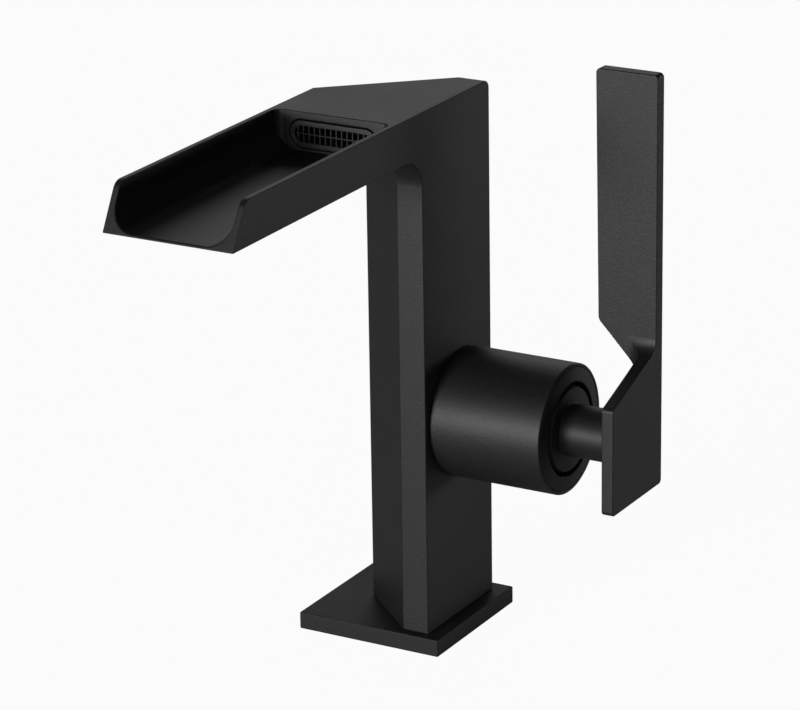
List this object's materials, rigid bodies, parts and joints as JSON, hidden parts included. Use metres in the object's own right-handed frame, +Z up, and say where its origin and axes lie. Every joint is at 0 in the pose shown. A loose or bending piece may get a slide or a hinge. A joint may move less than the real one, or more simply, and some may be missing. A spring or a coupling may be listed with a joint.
{
  "type": "waterfall basin tap",
  "caption": "Single-lever waterfall basin tap with an open channel spout, a square base plate and an angled blade lever on a side cartridge.",
  "frame": {"origin": "centre of the base plate's underside, at the mouth of the fixing stud's hole", "axes": "+Z up, spout towards -Y, cartridge and lever on +X"},
  "size_m": [0.106, 0.154, 0.1847],
  "materials": {
    "black_coat": "matte",
    "black_trim": "satin",
    "brass": "satin",
    "steel": "satin",
    "ceramic": "gloss",
    "white_plastic": "matte",
    "blue_plastic": "matte",
    "rubber": "matte"
  },
  "bodies": {
    "fixed": {"base_plate": "black_coat", "base_gasket": "rubber", "faucet_body": "black_coat", "outlet_grille": "black_trim", "outlet_seal": "rubber", "cartridge_housing": "black_coat", "housing_seal": "rubber", "cartridge_base": "white_plastic", "port_seals": "rubber", "cartridge_shell": "white_plastic", "fixed_disc": "ceramic", "retaining_nut": "brass", "trim_ring": "black_trim"},
    "turning": {"rotor": "blue_plastic", "rotor_seal": "rubber", "pivot_pin": "steel"},
    "sliding": {"moving_disc": "ceramic", "disc_driver": "blue_plastic"},
    "handle": {"spindle": "steel", "lever_stem": "black_trim", "grub_screw": "steel", "lever": "black_coat"}
  },
  "joints": [
    {"name": "temperature_turn", "type": "hinge", "parent": "fixed", "child": "turning", "pos_m": [0.0527, 0.001, 0.07285], "axis": [1, 0, 0], "range_deg": [-45, 45]},
    {"name": "flow_tilt", "type": "hinge", "parent": "turning", "child": "handle", "pos_m": [0.0527, 0.001, 0.07285], "axis": [0, 1, 0], "range_deg": [0, 20]},
    {"name": "disc_slide", "type": "slide", "parent": "turning", "child": "sliding", "axis": [0, 0, 1], "range_m": [0, 0.0036]}
  ],
  "couplings": [
    {"joint": "disc_slide", "follows": "flow_tilt", "m_per_rad": 0.0102}
  ]
}
